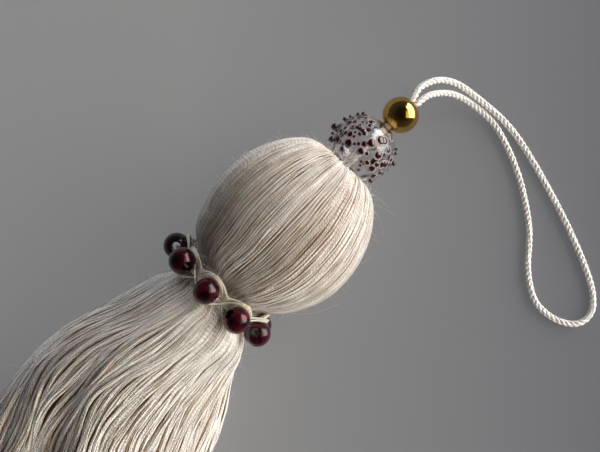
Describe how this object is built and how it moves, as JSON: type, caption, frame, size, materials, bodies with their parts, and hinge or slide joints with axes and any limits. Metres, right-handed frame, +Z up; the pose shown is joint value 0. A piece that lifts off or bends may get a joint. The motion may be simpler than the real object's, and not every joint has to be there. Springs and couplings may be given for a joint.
{
  "type": "beaded tassel",
  "caption": "Cotton tassel lying on its side: ribbed thread head, tied neck with a ring of beads, fanned skirt, two strung beads and a twisted hanging loop.",
  "frame": {"origin": "centre of the small flat spot that the head rests on, on the surface", "axes": "+X along the head towards the hanging loop, +Z up from the surface"},
  "size_m": [0.2023, 0.1091, 0.0445],
  "materials": {
    "thread": "ivory cotton thread, matt with a faint sheen",
    "binding": "cream mercerised thread",
    "cord": "white twisted cotton cord",
    "lacquer": "burgundy lacquer, high gloss",
    "glass": "clear glass with raised burgundy dots",
    "brass": "mirror polished"
  },
  "bodies": {
    "root": {"bundle": "thread", "neck_binding": "binding", "neck_bead_1": "lacquer", "neck_bead_2": "lacquer", "neck_bead_3": "lacquer", "neck_bead_4": "lacquer", "neck_bead_5": "lacquer", "neck_bead_6": "lacquer", "neck_bead_7": "lacquer", "neck_bead_8": "lacquer", "neck_bead_9": "lacquer", "glass_bead": "glass", "brass_bead": "brass", "core_cord": "cord", "hang_loop": "cord"}
  },
  "joints": []
}
